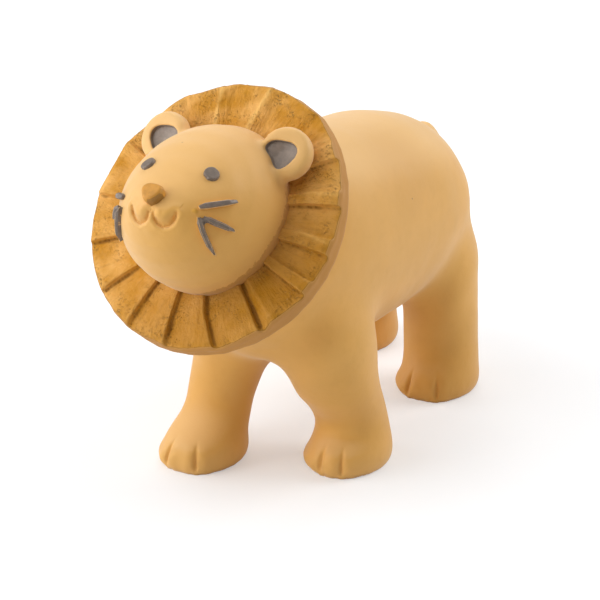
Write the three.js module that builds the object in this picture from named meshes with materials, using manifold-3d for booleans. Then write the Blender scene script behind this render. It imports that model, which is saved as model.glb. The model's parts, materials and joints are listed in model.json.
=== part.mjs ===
// A soft rubber lion toy: a hollow casting of a walking lion with a pleated mane, painted by hand.
// Millimetres, +Z up. The lion faces -Y and its left side is on +X. The soles stand on z = 0.
import * as THREE from 'three';
import { mergeVertices } from 'three/addons/utils/BufferGeometryUtils.js';
import Module from 'manifold-3d';

const wasm = await Module();
wasm.setup();

// Casting
const WALL = 2.2;
const SEAM = 0.3;

// Stance: the right front and right hind feet are a stride ahead and behind of the left ones
const WHEELBASE = 64.4;
const TRACK = 31.9;
const STRIDE = 7.8;
const FRONT_FOOT_Y = -WHEELBASE / 2;
const HIND_FOOT_Y = WHEELBASE / 2;

// Head: how the mane's face is turned, and where its centre is
const HEAD_AT = new THREE.Vector3(-4.7, -53.7, 70.3);
const HEAD_TURN = THREE.MathUtils.degToRad(-2.7);
const HEAD_PITCH = THREE.MathUtils.degToRad(-37.2);
const HEAD_ROLL = THREE.MathUtils.degToRad(-4);

// Mane
const MANE_RADIUS = 32;
const NECK_PASSAGE = 6.5;
const MANE_FRONT = -2;
const MANE_BACK = -5.2;
const PLEAT_BASE = MANE_FRONT + SEAM;
const PLEAT_VALLEY = -0.7;
const PLEAT_RIDGE = 1.1;
const PLEAT_INNER_RADIUS = 16.6;
const CORNER_REACH = 0.3;
const RIM_DROP = 0.3;
// Each pleat starts in a groove, at this many degrees clockwise from the top as seen from the front.
// shift turns the groove's inner end, step says whether the steep side is before or after the groove
// or neither is steep, height is how high the pleat stands beside the highest ones, straight says how
// far the rim from there to the next groove is a straight edge, not an arc, and bulge widens the rim.
const GROOVES = [
  { angle: 16.5, step: 'neither', shift: -1.5, height: 0.6, bulge: 0.6 },
  { angle: 36, step: 'neither', height: 0.8, bulge: 1.1 },
  { angle: 58.5, step: 'before', shift: -4.5, bulge: 0.5 },
  { angle: 79.5, step: 'before', shift: -4.5 },
  { angle: 100.2, step: 'before' },
  { angle: 118, step: 'before', shift: 2 },
  { angle: 140, step: 'after' },
  { angle: 161, step: 'after', shift: 9 },
  { angle: 184.5, step: 'after', shift: 3.5 },
  { angle: 204.8, step: 'after', shift: 3.8 },
  { angle: 225.8, step: 'after' },
  { angle: 249, step: 'after', straight: 0.4 },
  { angle: 271, step: 'after', straight: 0.9 },
  { angle: 298.5, step: 'before', straight: 0.9, height: 0.8 },
  { angle: 328.5, step: 'neither', straight: 0.6, height: 0.75 },
  { angle: 353.8, step: 'neither', shift: -3.8, height: 0.75 },
];

// Small features of the face, on the head's own left and upward axes
const FACE_CENTRE = 0.8;
const EAR = { side: 16.1, up: 15.5, rise: 4.3, radius: 6.3, thick: 4.4 };
const RECESS = { width: 7.6, height: 6.7, depth: 2.2, inward: 0.7, down: 0.6, paint: 0.7 };
const EYE = { side: 8.1, aside: 0.7, up: 3.9, width: 3.9, height: 4, proud: 0.65, rounding: 0.2 };
const NOSE = { up: -4.4, width: 5.4, height: 4.8, proud: 2.3, rounding: 0.24 };
const WHISKER = { width: 1.5, proud: 1.3, root: 0.6 };
const PAD_ROOT = 1.8;
// Each whisker's places on the face: how far aside, and how far up
const WHISKER_ROUTES = {
  left: {
    upper: [[9.6, -4.7], [12.2, -2.7], [14.7, -0.5]],
    middle: [[10.75, -6.45], [13, -6.7], [15.1, -6.6]],
    lower: [[9.9, -6.7], [11, -9.8], [12.1, -12.6]],
  },
  right: {
    upper: [[9.9, -4.9], [12.1, -4.2], [14.2, -3.6]],
    middle: [[10.9, -6.75], [12.8, -7.6], [14.6, -8.4]],
    lower: [[9.9, -7.1], [10.9, -10.1], [11.9, -12.8]],
  },
};
const MOUTH = { up: -6.6, width: 1.2, depth: 1.2 };
// The mouth is a short line below the nose, and a lip that curves down and out on each side of it
const MOUTH_LINE = [[0, -0.4], [0, -1.2], [0, -2.2]];
const LIP = [[0.5, -1.5], [1.1, -3], [3, -3.9], [4.6, -3.2], [5.5, -2], [5.9, -0.6]];

const point = (x, y, z) => new THREE.Vector3(x, y, z);
const ACROSS = point(1, 0, 0);
const UP = point(0, 0, 1);

// Solids and cuts

function toSolid(geometry) {
  const bare = geometry.clone();
  bare.deleteAttribute('normal');
  bare.deleteAttribute('uv');
  const merged = mergeVertices(bare, 1e-5);
  const vertProperties = new Float32Array(merged.getAttribute('position').array);
  const triVerts = new Uint32Array(merged.index.array);
  return new wasm.Manifold(new wasm.Mesh({ numProp: 3, vertProperties, triVerts }));
}

function toGeometry(solid) {
  const mesh = solid.getMesh();
  const geometry = new THREE.BufferGeometry();
  geometry.setAttribute('position', new THREE.Float32BufferAttribute(mesh.vertProperties, 3));
  geometry.setIndex(Array.from(mesh.triVerts));
  return geometry;
}

// The closed skin through rings of points, each ring with the same count. Open ends are closed by
// a fan to a pole, and with loop the last ring joins the first instead.
function loft(rings, { poles = [null, null], loop = false } = {}) {
  const count = rings[0].length;
  const corners = rings.flat();
  const faces = [];
  const bands = loop ? rings.length : rings.length - 1;
  for (let band = 0; band < bands; band += 1) {
    const low = band * count;
    const high = ((band + 1) % rings.length) * count;
    for (let i = 0; i < count; i += 1) {
      const j = (i + 1) % count;
      faces.push(low + i, low + j, high + j, low + i, high + j, high + i);
    }
  }
  if (!loop) {
    [0, rings.length - 1].forEach((ring, end) => {
      const pole = poles[end] ?? middle(rings[ring]);
      const at = corners.push(pole) - 1;
      for (let i = 0; i < count; i += 1) {
        const j = (i + 1) % count;
        const [a, b] = [ring * count + i, ring * count + j];
        if (end === 0) faces.push(at, b, a);
        else faces.push(at, a, b);
      }
    });
  }
  const geometry = new THREE.BufferGeometry();
  const flat = corners.flatMap((p) => p.toArray());
  geometry.setAttribute('position', new THREE.Float32BufferAttribute(flat, 3));
  geometry.setIndex(signedVolume(corners, faces) < 0 ? faces.reverse() : faces);
  return geometry;
}

function middle(ring) {
  return ring.reduce((sum, p) => sum.add(p), point(0, 0, 0)).divideScalar(ring.length);
}

function signedVolume(corners, faces) {
  let volume = 0;
  for (let i = 0; i < faces.length; i += 3) {
    const [a, b, c] = [corners[faces[i]], corners[faces[i + 1]], corners[faces[i + 2]]];
    volume += a.dot(b.clone().cross(c)) / 6;
  }
  return volume;
}

// A ring of points on a superellipse. fullness 2 is an ellipse, and more is squarer.
function oval(centre, right, up, halfWidth, halfHeight, { count = 28, fullness = 2 } = {}) {
  return Array.from({ length: count }, (_, i) => {
    const turn = (2 * Math.PI * i) / count;
    const [c, s] = [Math.cos(turn), Math.sin(turn)];
    const reach = (Math.abs(c) ** fullness + Math.abs(s) ** fullness) ** (-1 / fullness);
    return centre.clone()
      .addScaledVector(right, halfWidth * c * reach)
      .addScaledVector(up, halfHeight * s * reach);
  });
}

// Torso with its thick neck: cross sections from the rump forward, each pitched up by its angle

const TORSO_SECTIONS = [
  { y: 46.5, z: 48, width: 17, height: 21, fullness: 1.9 },
  { y: 42.5, z: 47.4, width: 25, height: 31, fullness: 1.85 },
  { y: 36, z: 47.6, width: 35.4, height: 39.4, fullness: 1.85 },
  { y: 27, z: 48.7, width: 44.5, height: 46.2, fullness: 2 },
  { y: 15, z: 50.2, width: 47, height: 50.8 },
  { y: 0, z: 51.5, width: 46.5, height: 53 },
  { y: -13, z: 52.8, width: 45.5, height: 54.6 },
  { x: -0.5, y: -25, z: 53.4, width: 45.5, height: 56, pitch: 6 },
  { x: -1.5, y: -34, z: 56.6, width: 45, height: 56.6, pitch: 16 },
  { x: -2.8, y: -42, z: 61.8, width: 43, height: 48.6, pitch: 28 },
];
const RUMP_POLE = { y: 48.2, z: 48.5 };
const NECK_END = { width: 41, height: 40.5, rise: MANE_BACK - SEAM };

function torsoSkin(grow, reachFront = 0) {
  const rings = TORSO_SECTIONS.map(({ x = 0, y, z, width, height, pitch = 0, fullness = 2.15 }, i) => {
    const tilt = THREE.MathUtils.degToRad(pitch);
    const up = point(0, Math.sin(tilt), Math.cos(tilt));
    const back = i === 0 ? grow : 0;
    return oval(point(x, y + back, z), ACROSS, up, width / 2 + grow, height / 2 + grow, { fullness });
  });
  const frame = headFrame();
  const neck = oval(point(0, -NECK_END.rise - reachFront, 0), ACROSS, UP,
    NECK_END.width / 2 + grow, NECK_END.height / 2 + grow, { fullness: 2.05 });
  rings.push(neck.map((p) => p.applyMatrix4(frame)));
  return loft(rings, { poles: [point(0, RUMP_POLE.y + grow, RUMP_POLE.z), null] });
}

function headFrame() {
  const turn = new THREE.Matrix4().makeRotationZ(HEAD_TURN);
  const pitch = new THREE.Matrix4().makeRotationX(HEAD_PITCH);
  const roll = new THREE.Matrix4().makeRotationY(HEAD_ROLL);
  const place = new THREE.Matrix4().makeTranslation(HEAD_AT.x, HEAD_AT.y, HEAD_AT.z);
  return place.multiply(turn).multiply(pitch).multiply(roll);
}

// Legs: sections upward from the sole. forward and inward move a section's centre from the foot's.

const FOOT = [
  { z: 0, width: 18, length: 22.2, toes: 0.5 },
  { z: 0.9, width: 19.2, length: 23.6, toes: 0.8 },
  { z: 3.4, width: 20, length: 24.4, toes: 1 },
  { z: 6.2, width: 19.2, length: 22.4, toes: 1 },
];

const LEGS = {
  front_left_leg: {
    side: 1, foot: FRONT_FOOT_Y + STRIDE, toes: [-10, 17],
    shank: [
      { z: 8.8, width: 17.5, length: 18.7, forward: -1.6, inward: 0.2, toes: 0.8 },
      { z: 11.2, width: 18.2, length: 18.2, forward: -1.8, inward: 1, toes: 0.25 },
      { z: 15.5, width: 19.1, length: 19.3, forward: 0.2, inward: 1.3 },
      { z: 21, width: 21, length: 21.2, forward: 3.4, inward: 2.1 },
      { z: 27, width: 23.6, length: 23, forward: 5.5, inward: 3.2 },
      { z: 33, width: 25, length: 27, forward: 6.4, inward: 4 },
      { z: 40, width: 22, length: 29, forward: 6.6, inward: 3.6 },
      { z: 49, width: 16, length: 26, forward: 6.6, inward: 4.5 },
    ],
  },
  front_right_leg: {
    side: -1, foot: FRONT_FOOT_Y - STRIDE, toes: [-22, 18],
    shank: [
      { z: 8.8, width: 18, length: 19.5, forward: -2.4, inward: 0.7, toes: 0.8 },
      { z: 11.2, width: 17, length: 18, forward: -3.9, inward: 0.8, toes: 0.25 },
      { z: 15.5, width: 16.6, length: 16.8, forward: -7.1, inward: 0.5 },
      { z: 21, width: 18.6, length: 18.4, forward: -8.8, inward: 1.3 },
      { z: 27, width: 22.4, length: 22, forward: -10, inward: 3.9 },
      { z: 33, width: 24.6, length: 26, forward: -9.4, inward: 3.8 },
      { z: 40, width: 22, length: 29, forward: -9.2, inward: 3.6 },
      { z: 49, width: 16, length: 26, forward: -9, inward: 4.5 },
    ],
  },
  hind_left_leg: {
    side: 1, foot: HIND_FOOT_Y - STRIDE, toes: [-9, 30],
    shank: [
      { z: 8.8, width: 19.8, length: 21.1, forward: -1.2, inward: 0.4, toes: 0.8 },
      { z: 11.2, width: 19.6, length: 19.4, forward: -1.8, inward: 0.7, toes: 0.25 },
      { z: 15.5, width: 19.4, length: 19.2, forward: -2.2, inward: 1.2 },
      { z: 21, width: 19.8, length: 20, forward: -2.2, inward: 1.4 },
      { z: 27, width: 20.4, length: 22, forward: -2, inward: 2.2 },
      { z: 34, width: 20, length: 24, forward: -2.2, inward: 2.3 },
      { z: 42, width: 17.4, length: 25, forward: -2.2, inward: 3 },
      { z: 50, width: 13, length: 21, forward: -2, inward: 5 },
    ],
  },
  hind_right_leg: {
    side: -1, foot: HIND_FOOT_Y + STRIDE, toes: [-26, 12],
    shank: [
      { z: 8.8, width: 17.6, length: 18.8, forward: -1.2, inward: 0.3, toes: 0.8 },
      { z: 11.2, width: 17, length: 17, forward: -1, inward: 0.6, toes: 0.25 },
      { z: 15.5, width: 18.2, length: 18.4, forward: 1.8, inward: 0.9 },
      { z: 21, width: 18.8, length: 19.6, forward: 5, inward: 1.2 },
      { z: 27, width: 19.4, length: 21.6, forward: 7.6, inward: 1.6 },
      { z: 34, width: 19.4, length: 24, forward: 9.2, inward: 2.2 },
      { z: 42, width: 17.4, length: 25, forward: 10, inward: 3 },
      { z: 50, width: 13, length: 21, forward: 10.4, inward: 5 },
    ],
  },
};
const RING_STEPS = 18;
const TOE_CLEFT_HALF_ANGLE = 4.5;
const TOE_CLEFT_DEPTH = 1.3;
const HOLLOW_REACH = 3;

// The angles of a leg's ring, in degrees from straight ahead, with three at each cleft
function legAngles(toes) {
  const clefts = toes.flatMap((at) => [at - TOE_CLEFT_HALF_ANGLE, at, at + TOE_CLEFT_HALF_ANGLE]);
  const even = Array.from({ length: RING_STEPS }, (_, i) => -180 + (360 * i) / RING_STEPS);
  const isClear = (angle) => clefts.every((cleft) => Math.abs(cleft - angle) > TOE_CLEFT_HALF_ANGLE);
  return [...even.filter(isClear), ...clefts].sort((a, b) => a - b);
}

function legSections({ shank }) {
  return [...FOOT, ...shank];
}

function legRing(leg, section, grow) {
  const { width, length, z, forward = 0, inward = 0, toes = 0 } = section;
  const centre = point(leg.side * (TRACK / 2 - inward), leg.foot - forward, z);
  return legAngles(leg.toes).map((angle) => {
    const turn = THREE.MathUtils.degToRad(angle);
    const dent = leg.toes.includes(angle) ? toes * TOE_CLEFT_DEPTH : 0;
    const x = (width / 2 + grow) * Math.sin(turn);
    const y = (length / 2 + grow) * Math.cos(turn);
    const keep = 1 - dent / Math.hypot(x, y);
    return point(centre.x + x * keep, centre.y - y * keep, centre.z);
  });
}

function legSkin(leg) {
  return loft(legSections(leg).map((section) => legRing(leg, section, 0)));
}

// The leg's hollow: the skin drawn in by the wall, from a floor one wall thick, carried on past the top
function legHollow(leg) {
  const rings = legSections(leg)
    .filter(({ z }) => z > WALL)
    .map((section) => legRing(leg, { ...section, toes: (section.toes ?? 0) / 2 }, -WALL));
  const floor = legRing(leg, { ...FOOT[1], z: WALL, toes: 0.3 }, -WALL);
  const top = rings.at(-1).map((p) => p.clone().add(point(0, 0, HOLLOW_REACH)));
  return loft([floor, ...rings, top]);
}

// Head: cross sections from the mane forward. top and bottom are heights on the head's own axis.

const HEAD_SECTIONS = [
  { rise: MANE_FRONT + SEAM, top: 21.2, bottom: -19, width: 36 },
  { rise: 3, top: 21, bottom: -19.6, width: 36.8 },
  { rise: 8, top: 19.3, bottom: -19.8, width: 36.2 },
  { rise: 13, top: 16, bottom: -19.2, width: 33.8 },
  { rise: 18, top: 11, bottom: -17.2, width: 29 },
  { rise: 22, top: 5.2, bottom: -14.6, width: 22.6 },
  { rise: 25.2, top: -0.4, bottom: -11.2, width: 14.6 },
  { rise: 26.9, top: -3.4, bottom: -8.6, width: 7 },
];
const SNOUT_TIP = { rise: 27.4, up: -6 };
const HEAD_FULLNESS = 2.1;

function headSkin(grow, from = HEAD_SECTIONS[0].rise) {
  const rings = HEAD_SECTIONS.map(({ rise, top, bottom, width }, i) => {
    const at = i === 0 ? from : rise + grow * (rise / SNOUT_TIP.rise);
    const centre = point(FACE_CENTRE, -at, (top + bottom) / 2);
    return oval(centre, ACROSS, UP, width / 2 + grow, (top - bottom) / 2 + grow,
      { count: 32, fullness: HEAD_FULLNESS });
  });
  return loft(rings, { poles: [null, point(FACE_CENTRE, -(SNOUT_TIP.rise + grow), SNOUT_TIP.up)] });
}

// How far the head's skin rises in front of the mane at a place on the face
function faceRise(x, z) {
  let [low, high] = [HEAD_SECTIONS[0].rise, SNOUT_TIP.rise];
  for (let i = 0; i < 30; i += 1) {
    const mid = (low + high) / 2;
    if (insideHead(x, mid, z)) low = mid;
    else high = mid;
  }
  return low;
}

function insideHead(x, rise, z) {
  const tip = { rise: SNOUT_TIP.rise, top: SNOUT_TIP.up, bottom: SNOUT_TIP.up, width: 0 };
  const sections = [...HEAD_SECTIONS, tip];
  const next = sections.findIndex((section) => section.rise >= rise);
  if (next < 1) return next === 0;
  const [a, b] = [sections[next - 1], sections[next]];
  const part = (rise - a.rise) / (b.rise - a.rise);
  const mix = (name) => a[name] + (b[name] - a[name]) * part;
  const across = Math.abs((x - FACE_CENTRE) / (mix('width') / 2));
  const [top, bottom] = [mix('top'), mix('bottom')];
  const along = Math.abs((z - (top + bottom) / 2) / ((top - bottom) / 2));
  return across ** HEAD_FULLNESS + along ** HEAD_FULLNESS < 1;
}

function facePoint(x, z, lift = 0) {
  return point(x, -(faceRise(x, z) + lift), z);
}

function faceNormal(x, z) {
  const reach = 1.5;
  const across = facePoint(x + reach, z).sub(facePoint(x - reach, z));
  const along = facePoint(x, z + reach).sub(facePoint(x, z - reach));
  return across.cross(along).normalize();
}

// A frame on the face: its y axis is the skin's normal, drawn in, and its z axis points up the face
function faceFrame(x, z) {
  const normal = faceNormal(x, z);
  const back = normal.clone().negate();
  const side = back.clone().cross(UP).normalize();
  const up = side.clone().cross(back).normalize();
  const at = facePoint(x, z);
  return new THREE.Matrix4().makeBasis(side, back, up).setPosition(at);
}

const headSolid = toSolid(headSkin(0));
const headClear = toSolid(headSkin(SEAM, -12));

// A pad on the face: an outline drawn out along the skin's normal and shrunk towards its front
function facePad(x, z, outline, { proud, rounding }) {
  const levels = [
    { lift: -PAD_ROOT, size: 1 },
    { lift: proud * 0.55, size: 1 },
    { lift: proud * 0.9, size: 1 - rounding * 0.5 },
    { lift: proud, size: 1 - rounding },
  ];
  const rings = levels.map(({ lift, size }) => outline.map(([u, w]) => point(u * size, -lift, w * size)));
  const pad = loft(rings).applyMatrix4(faceFrame(x, z));
  return toSolid(pad).subtract(headClear);
}

function ovalOutline(width, height, count) {
  return Array.from({ length: count }, (_, i) => {
    const turn = (2 * Math.PI * i) / count;
    return [(width / 2) * Math.cos(turn), (height / 2) * Math.sin(turn)];
  });
}

// A rounded triangle that points down
function triangleOutline(width, height, count) {
  return Array.from({ length: count }, (_, i) => {
    const turn = (2 * Math.PI * i) / count;
    const reach = 1 + 0.1 * Math.sin(3 * turn);
    return [(width / 2) * Math.cos(turn) * reach, (height / 2) * Math.sin(turn) * reach];
  });
}

// A ridge or cutter that follows the face through places given as [x, z]
function faceBead(places, width, below, above, endShrink = 0.55) {
  const path = new THREE.CatmullRomCurve3(places.map(([x, z]) => point(x, 0, z)));
  const steps = 5;
  const rings = Array.from({ length: steps + 1 }, (_, i) => {
    const at = path.getPoint(i / steps);
    const tangent = path.getTangent(i / steps);
    const normal = faceNormal(at.x, at.z);
    const across = normal.clone().cross(tangent).normalize();
    const size = i === 0 || i === steps ? endShrink : 1;
    const skin = facePoint(at.x, at.z);
    const corner = (side, lift) => skin.clone()
      .addScaledVector(across, side * size * width / 2)
      .addScaledVector(normal, lift);
    return [corner(-1, -below), corner(1, -below), corner(1, above * 0.6), corner(0.55, above * size),
      corner(-0.55, above * size), corner(-1, above * 0.6)];
  });
  return toSolid(loft(rings));
}

function mouthGrooves() {
  const { up, width, depth } = MOUTH;
  const groove = (places, side, endShrink) => faceBead(
    places.map(([across, rise]) => [FACE_CENTRE + side * across, up + rise]), width, depth, depth, endShrink,
  );
  return [groove(LIP, -1, 0.4), groove(LIP, 1, 0.4), groove(MOUTH_LINE, 1, 0.6)];
}

function headShell() {
  const hollow = toSolid(headSkin(-WALL, HEAD_SECTIONS[0].rise - 1));
  return mouthGrooves().reduce((shell, groove) => shell.subtract(groove), headSolid.subtract(hollow));
}

// Mane: a plate with a pleated face. Its outline has a corner at each groove.

const turnOf = (degrees) => THREE.MathUtils.degToRad(degrees);

function maneRadius(angle) {
  const count = GROOVES.length;
  for (let i = 0; i < count; i += 1) {
    const { angle: start, straight = 0, bulge = 0 } = GROOVES[i];
    const { bulge: nextBulge = 0 } = GROOVES[(i + 1) % count];
    const span = pleatSpan(i);
    const along = (angle - start + 720) % 360;
    if (along < span) {
      const chord = Math.cos(turnOf(span / 2)) / Math.cos(turnOf(along - span / 2));
      const outward = CORNER_REACH + bulge + (nextBulge - bulge) * (along / span);
      return MANE_RADIUS * (1 + straight * (chord - 1)) + outward;
    }
  }
  return MANE_RADIUS;
}

function pleatSpan(i) {
  const next = GROOVES[(i + 1) % GROOVES.length].angle;
  return (next - GROOVES[i].angle + 360) % 360;
}

// Heights across one pleat from groove to groove: [part of the pleat, part of the relief]
const SLOPE_THEN_STEP = [[0, 0], [0.05, 0.12], [0.6, 0.42], [0.66, 0.92], [0.955, 1]];
const STEP_THEN_SLOPE = [[0, 0], [0.045, 0.9], [0.09, 1], [0.55, 0.66], [0.95, 0.25]];
const STEP_AND_STEP = [[0, 0], [0.045, 0.85], [0.09, 1], [0.88, 0.8], [0.96, 0.65]];
const SLOPE_AND_SLOPE = [[0, 0], [0.06, 0.16], [0.64, 0.86], [0.71, 1], [0.76, 0.94], [0.96, 0.24]];
// How much of a pleat's height is left where it meets the rim, for each kind of groove it starts from
const HEIGHT_AT_RIM = { before: 0.4, after: 0.12, neither: 0.12 };

function pleatColumns() {
  return GROOVES.flatMap(({ angle, step, shift = 0, height: full = 1 }, i) => {
    const next = GROOVES[(i + 1) % GROOVES.length];
    const endsSteep = next.step === 'before';
    const fromStep = endsSteep ? STEP_AND_STEP : STEP_THEN_SLOPE;
    const fromSlope = endsSteep ? SLOPE_THEN_STEP : SLOPE_AND_SLOPE;
    const shape = step === 'after' ? fromStep : fromSlope;
    const span = pleatSpan(i);
    return shape.map(([part, height]) => ({
      angle: angle + span * part,
      innerShift: shift * (1 - part) + (next.shift ?? 0) * part,
      height: full * height,
      atRim: full * height * HEIGHT_AT_RIM[step],
    }));
  });
}

function onMane(angle, radius, rise) {
  const turn = turnOf(angle);
  return point(radius * Math.sin(turn), -rise, radius * Math.cos(turn));
}

function pleatedFace() {
  const columns = pleatColumns();
  const relief = PLEAT_RIDGE - PLEAT_VALLEY;
  const rows = [
    { part: 0, relief: 0.75 },
    { part: 0.45, relief: 0.9 },
    { part: 0.88, relief: 1 },
    { part: 0.97, relief: 0.75 },
  ];
  const row = ({ part, relief: share }) => columns.map(({ angle, innerShift, height }) => {
    const outer = maneRadius(angle);
    const radius = PLEAT_INNER_RADIUS + (outer - PLEAT_INNER_RADIUS) * part;
    return onMane(angle + innerShift * (1 - part), radius, PLEAT_VALLEY + relief * share * height);
  });
  const rim = columns.map(({ angle, atRim }) => (
    onMane(angle, maneRadius(angle), PLEAT_VALLEY - RIM_DROP + relief * atRim)));
  const underOuter = columns.map(({ angle }) => onMane(angle, maneRadius(angle), PLEAT_BASE));
  const underInner = columns.map(({ angle, innerShift }) => (
    onMane(angle + innerShift, PLEAT_INNER_RADIUS, PLEAT_BASE)));
  const ring = loft([...rows.map(row), rim, underOuter, underInner], { loop: true });
  return toSolid(ring).subtract(headClear);
}

function manePlate() {
  const thirds = [0, 1 / 3, 2 / 3];
  const columns = GROOVES.flatMap(({ angle }, i) => thirds.map((part) => angle + pleatSpan(i) * part));
  const ring = (shrink, rise) => columns.map((angle) => onMane(angle, maneRadius(angle) - shrink, rise));
  const bore = (rise) => columns.map((angle) => onMane(angle, NECK_PASSAGE, rise));
  return loft([
    ring(0, MANE_FRONT), ring(-0.1, MANE_FRONT - 1.4), ring(0.2, MANE_BACK + 0.8), ring(1.1, MANE_BACK),
    bore(MANE_BACK), bore(MANE_FRONT),
  ], { loop: true });
}

// Ears: a round pad with a rounded rim and a sunk, painted recess

const EAR_COUNT = 20;

function earBody(side, grow = 0) {
  const { radius, thick } = EAR;
  const levels = [
    { rise: -thick / 2 - grow, size: radius - 1 + grow },
    { rise: -thick / 2 + 0.9, size: radius + grow },
    { rise: thick / 2 - 1.3, size: radius + grow },
    { rise: thick / 2 - 0.3, size: radius - 0.6 + grow },
    { rise: thick / 2 + grow, size: radius - 1.6 + grow },
  ];
  const rings = levels.map(({ rise, size }) => (
    oval(point(0, -rise, 0), ACROSS, UP, size, size, { count: EAR_COUNT })));
  return loft(rings).applyMatrix4(earFrame(side));
}

function earFrame(side) {
  const lean = new THREE.Matrix4().makeRotationZ(turnOf(side * 8));
  return lean.setPosition(FACE_CENTRE + side * EAR.side, -EAR.rise, EAR.up);
}

function earRecess(side, shrink, from, to) {
  const { width, height, inward, down } = RECESS;
  const outline = triangleOutline(width - 2 * shrink, height - 2 * shrink, EAR_COUNT);
  const rings = [from, to].map((rise) => outline.map(([u, w]) => point(u - side * inward, -rise, w - down)));
  return loft(rings).applyMatrix4(earFrame(side));
}

function ear(side) {
  const floor = EAR.thick / 2 - RECESS.depth;
  return toSolid(earBody(side)).subtract(headClear).subtract(toSolid(earRecess(side, 0, floor, EAR.thick)));
}

function earPaint(side) {
  const floor = EAR.thick / 2 - RECESS.depth;
  const paint = toSolid(earRecess(side, SEAM, floor + SEAM, floor + SEAM + RECESS.paint));
  return paint.subtract(headClear);
}

// Tail: a rope that lies down the rump from a raised root, with a leaf-shaped tuft at its end

const TAIL = { rootWidth: 9, endWidth: 5.4, tuftWidth: 10, tuftDepth: 7.6 };
const onRump = (x, out, z) => point(x, RUMP_POLE.y + out, z);
const TAIL_ROUTE = [
  onRump(0, -6.4, 60.8),
  onRump(0, -1.6, 57.4),
  onRump(0.5, 1.4, 50.5),
  onRump(1.6, 1.4, 43),
  onRump(3, -0.4, 36.5),
];
const TUFT_ROUTE = [
  onRump(3.1, -0.5, 36.1),
  onRump(4.1, -2, 31.5),
  onRump(4.8, -3.6, 27),
  onRump(5, -4.8, 24),
];

function ropeSkin(route, sizes, count = 16) {
  const path = new THREE.CatmullRomCurve3(route);
  const steps = sizes.length - 1;
  const rings = sizes.map(([width, depth], i) => {
    const tangent = path.getTangentAt(i / steps);
    const right = tangent.clone().cross(point(0, 1, 0)).normalize();
    const up = right.clone().cross(tangent).normalize();
    return oval(path.getPointAt(i / steps), right, up, width / 2, depth / 2, { count });
  });
  return loft(rings);
}

function tail() {
  const { rootWidth, endWidth } = TAIL;
  const steps = 8;
  const sizes = Array.from({ length: steps + 1 }, (_, i) => {
    const width = rootWidth + (endWidth - rootWidth) * Math.sqrt(i / steps);
    return [width, width];
  });
  return toSolid(ropeSkin(TAIL_ROUTE, sizes)).subtract(torsoClear);
}

function tailTuft() {
  const { endWidth, tuftWidth, tuftDepth } = TAIL;
  const swell = [[0.82, 0.9], [1, 1], [0.94, 0.92], [0.66, 0.7], [0.2, 0.22]];
  const sizes = [[endWidth, endWidth], ...swell.map(([wide, deep]) => [tuftWidth * wide, tuftDepth * deep])];
  return toSolid(ropeSkin(TUFT_ROUTE, sizes)).subtract(torsoClear);
}

// Torso and legs cut to each other, so that the hollow runs through the whole casting

const torsoSolid = toSolid(torsoSkin(0));
const torsoClear = toSolid(torsoSkin(SEAM, -2));
const legHollows = Object.values(LEGS).map((leg) => toSolid(legHollow(leg)));

function torsoShell() {
  const hollow = toSolid(torsoSkin(-WALL, 1));
  return legHollows.reduce((shell, leg) => shell.subtract(leg), torsoSolid.subtract(hollow));
}

function legShell(leg, i) {
  return toSolid(legSkin(leg)).subtract(legHollows[i]).subtract(torsoClear);
}

// Materials

const rubber = (color, roughness) => new THREE.MeshStandardMaterial({ color, roughness, metalness: 0 });
const LATEX = () => rubber('#d9a367', 0.62);
const MANE_PAINT = () => rubber('#cf9548', 0.55);
const GREY_PAINT = () => rubber('#83756a', 0.5);
const NOSE_PAINT = () => rubber('#cb9250', 0.55);

// Assembly

const group = new THREE.Group();
const headGroup = new THREE.Group();
headGroup.applyMatrix4(headFrame());
group.add(headGroup);

function add(parent, name, shape, material) {
  const geometry = shape.isBufferGeometry ? shape : toGeometry(shape);
  const mesh = new THREE.Mesh(geometry, material);
  mesh.name = name;
  parent.add(mesh);
}

add(group, 'torso', torsoShell(), LATEX());
Object.entries(LEGS).forEach(([name, leg], i) => add(group, name, legShell(leg, i), LATEX()));
add(group, 'tail', tail(), LATEX());
add(group, 'tail_tuft', tailTuft(), MANE_PAINT());

add(headGroup, 'mane_disc', manePlate(), LATEX());
add(headGroup, 'mane_pleats', pleatedFace(), MANE_PAINT());
add(headGroup, 'head', headShell(), LATEX());

for (const [name, side] of [['left', 1], ['right', -1]]) {
  const across = (offset) => FACE_CENTRE + side * offset;
  add(headGroup, `${name}_ear`, ear(side), LATEX());
  add(headGroup, `${name}_ear_inner`, earPaint(side), GREY_PAINT());
  const eyeOutline = ovalOutline(EYE.width, EYE.height, 14);
  add(headGroup, `${name}_eye`, facePad(across(EYE.side) + EYE.aside, EYE.up, eyeOutline, EYE), GREY_PAINT());
  for (const [place, route] of Object.entries(WHISKER_ROUTES[name])) {
    const bead = faceBead(route.map(([x, z]) => [across(x), z]), WHISKER.width, WHISKER.root, WHISKER.proud);
    add(headGroup, `${name}_${place}_whisker`, bead.subtract(headClear), GREY_PAINT());
  }
}
const nosePad = facePad(FACE_CENTRE, NOSE.up, triangleOutline(NOSE.width, NOSE.height, 16), NOSE);
add(headGroup, 'nose', nosePad, NOSE_PAINT());

// The finished toy stands with the middle of its box over the origin
const box = new THREE.Box3().setFromObject(group, true);
group.position.set(-(box.min.x + box.max.x) / 2, -(box.min.y + box.max.y) / 2, -box.min.z);

export default group;
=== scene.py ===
"""A soft rubber lion toy: a smooth latex casting with a painted, pleated mane, on a white sweep."""
import json
import math

import bmesh
import bpy
import numpy as np
from bpy.props import FloatProperty, FloatVectorProperty, PointerProperty
from mathutils import Matrix, Vector, noise
from mathutils.bvhtree import BVHTree


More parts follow.
